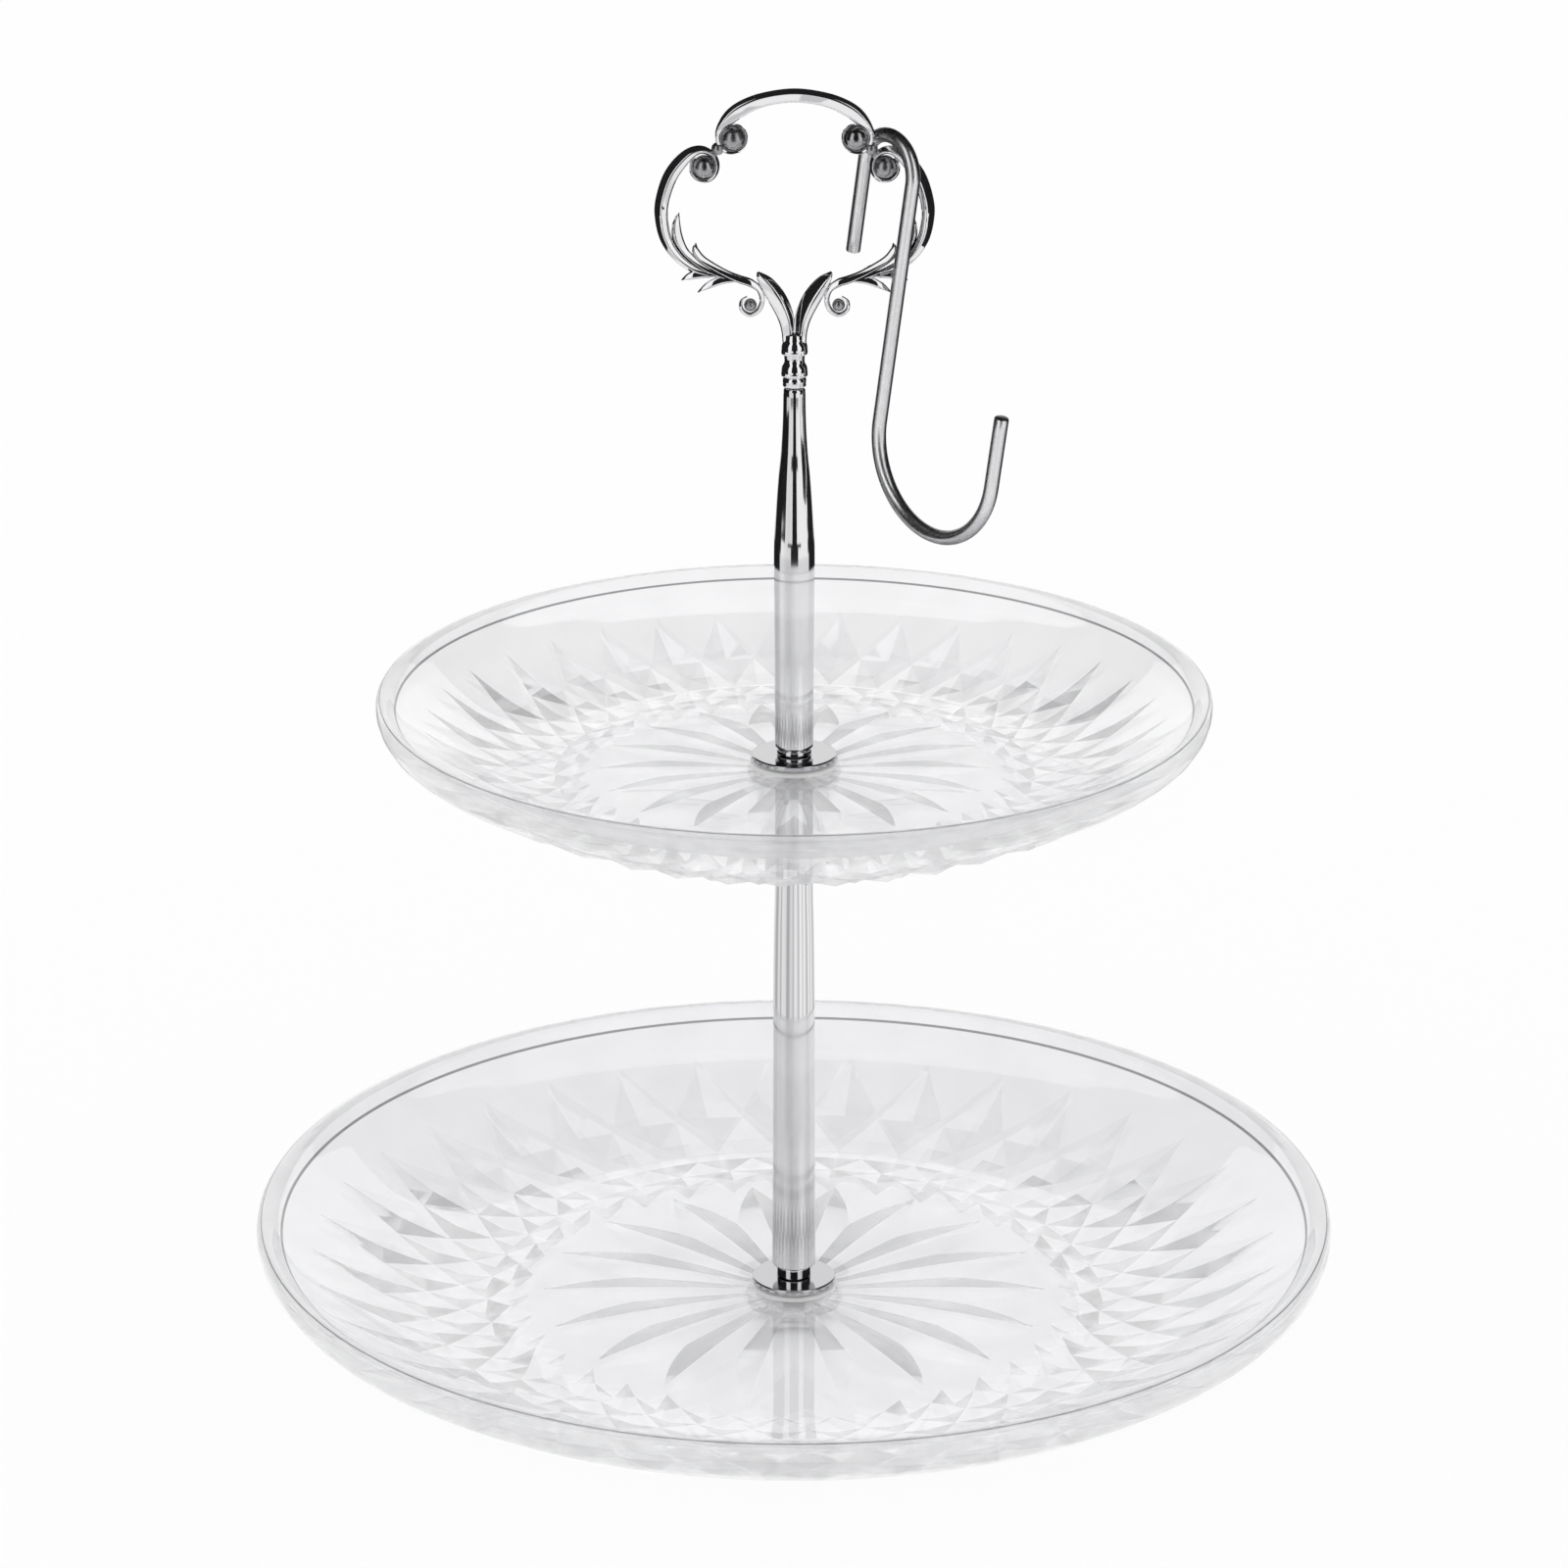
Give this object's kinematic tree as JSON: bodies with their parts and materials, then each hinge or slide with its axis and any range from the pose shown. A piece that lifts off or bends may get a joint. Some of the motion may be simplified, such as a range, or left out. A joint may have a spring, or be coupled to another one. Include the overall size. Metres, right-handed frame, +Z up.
{
  "type": "tiered cake stand",
  "caption": "Round clear plates of two sizes stacked on a chromed centre post, with a scroll ring handle and a wire hook hung on the handle.",
  "frame": {"origin": "on the post's axis, at the level of the surface that the stand rests on", "axes": "+Z up along the post; the handle's ring lies in the XZ plane, and the hook hangs on its +X side"},
  "size_m": [0.26, 0.26, 0.3062],
  "materials": {
    "clear_plastic": "clear, polished",
    "clear_gasket": "clear, soft",
    "chrome": "mirror",
    "steel": "bright zinc",
    "satin_steel": "satin"
  },
  "bodies": {
    "lower_plate": {"lower_plate": "clear_plastic", "lower_top_gasket": "clear_gasket", "lower_under_gasket": "clear_gasket"},
    "lower_post": {"lower_post": "chrome", "lower_post_foot_insert": "chrome", "lower_post_top_insert": "chrome", "lower_flange_washer": "chrome", "upper_support_washer": "chrome"},
    "base_screw": {"base_screw": "steel", "base_washer": "chrome"},
    "upper_plate": {"upper_plate": "clear_plastic", "upper_top_gasket": "clear_gasket", "upper_under_gasket": "clear_gasket"},
    "upper_post": {"upper_post": "chrome", "upper_post_foot_insert": "chrome", "tie_stud": "steel", "upper_flange_washer": "chrome"},
    "handle": {"handle_casting": "chrome", "handle_stud": "steel"},
    "s_hook": {"s_hook": "satin_steel"}
  },
  "joints": [
    {"name": "lower_post_turn", "type": "hinge", "parent": "lower_plate", "child": "lower_post", "pos_m": [0, 0, 0.012], "axis": [0, 0, 1], "continuous": true},
    {"name": "base_screw_turn", "type": "hinge", "parent": "lower_post", "child": "base_screw", "pos_m": [0, 0, 0.002], "axis": [0, 0, 1], "continuous": true},
    {"name": "upper_plate_turn", "type": "hinge", "parent": "lower_post", "child": "upper_plate", "pos_m": [0, 0, 0.1405], "axis": [0, 0, 1], "continuous": true},
    {"name": "upper_post_turn", "type": "hinge", "parent": "lower_post", "child": "upper_post", "pos_m": [0, 0, 0.147], "axis": [0, 0, 1], "continuous": true},
    {"name": "handle_turn", "type": "hinge", "parent": "upper_post", "child": "handle", "pos_m": [0, 0, 0.2365], "axis": [0, 0, 1], "continuous": true},
    {"name": "hook_swing", "type": "hinge", "parent": "handle", "child": "s_hook", "pos_m": [0.0214, 0, 0.287], "axis": [-0.766, -0.6428, 0], "range_deg": [0, 18]}
  ]
}
